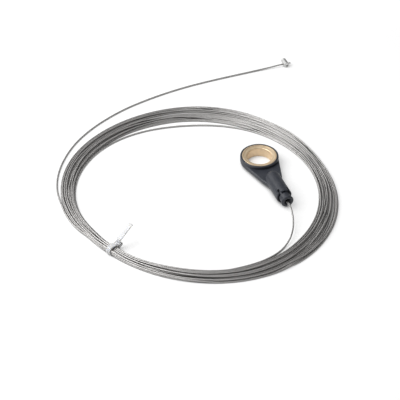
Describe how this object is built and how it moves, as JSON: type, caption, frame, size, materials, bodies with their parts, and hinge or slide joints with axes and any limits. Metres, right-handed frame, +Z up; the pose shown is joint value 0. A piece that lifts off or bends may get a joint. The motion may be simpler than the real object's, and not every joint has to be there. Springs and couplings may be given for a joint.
{
  "type": "measuring wire for a draw wire encoder",
  "caption": "Spare measuring wire of a draw wire encoder: moulded swivel eyelet with a brass bush, wire rope in a tied coil, and a barrel nipple.",
  "frame": {"origin": "centre of the eyelet's bore at its lower face, which is the surface that the whole part lies on", "axes": "+Z up along the eyelet's bore, +X along the stem towards the rope's exit"},
  "size_m": [0.2534, 0.2431, 0.0153],
  "materials": {
    "black_plastic": "fine moulded texture",
    "brass": "turned",
    "steel": "satin",
    "rope": "stranded",
    "nylon": "natural, slightly translucent"
  },
  "bodies": {
    "rope": {"end_ferrule": "steel", "rope_lead": "rope", "rope_coil": "rope", "rope_tail": "rope", "barrel_nipple": "steel", "cable_tie": "nylon"},
    "eyelet": {"eyelet_body": "black_plastic", "brass_bush": "brass", "wire_plug": "black_plastic"}
  },
  "joints": [
    {"name": "eyelet_swivel", "type": "hinge", "parent": "rope", "child": "eyelet", "pos_m": [0.037, 0, 0.00625], "axis": [1, 0, 0], "continuous": true}
  ]
}
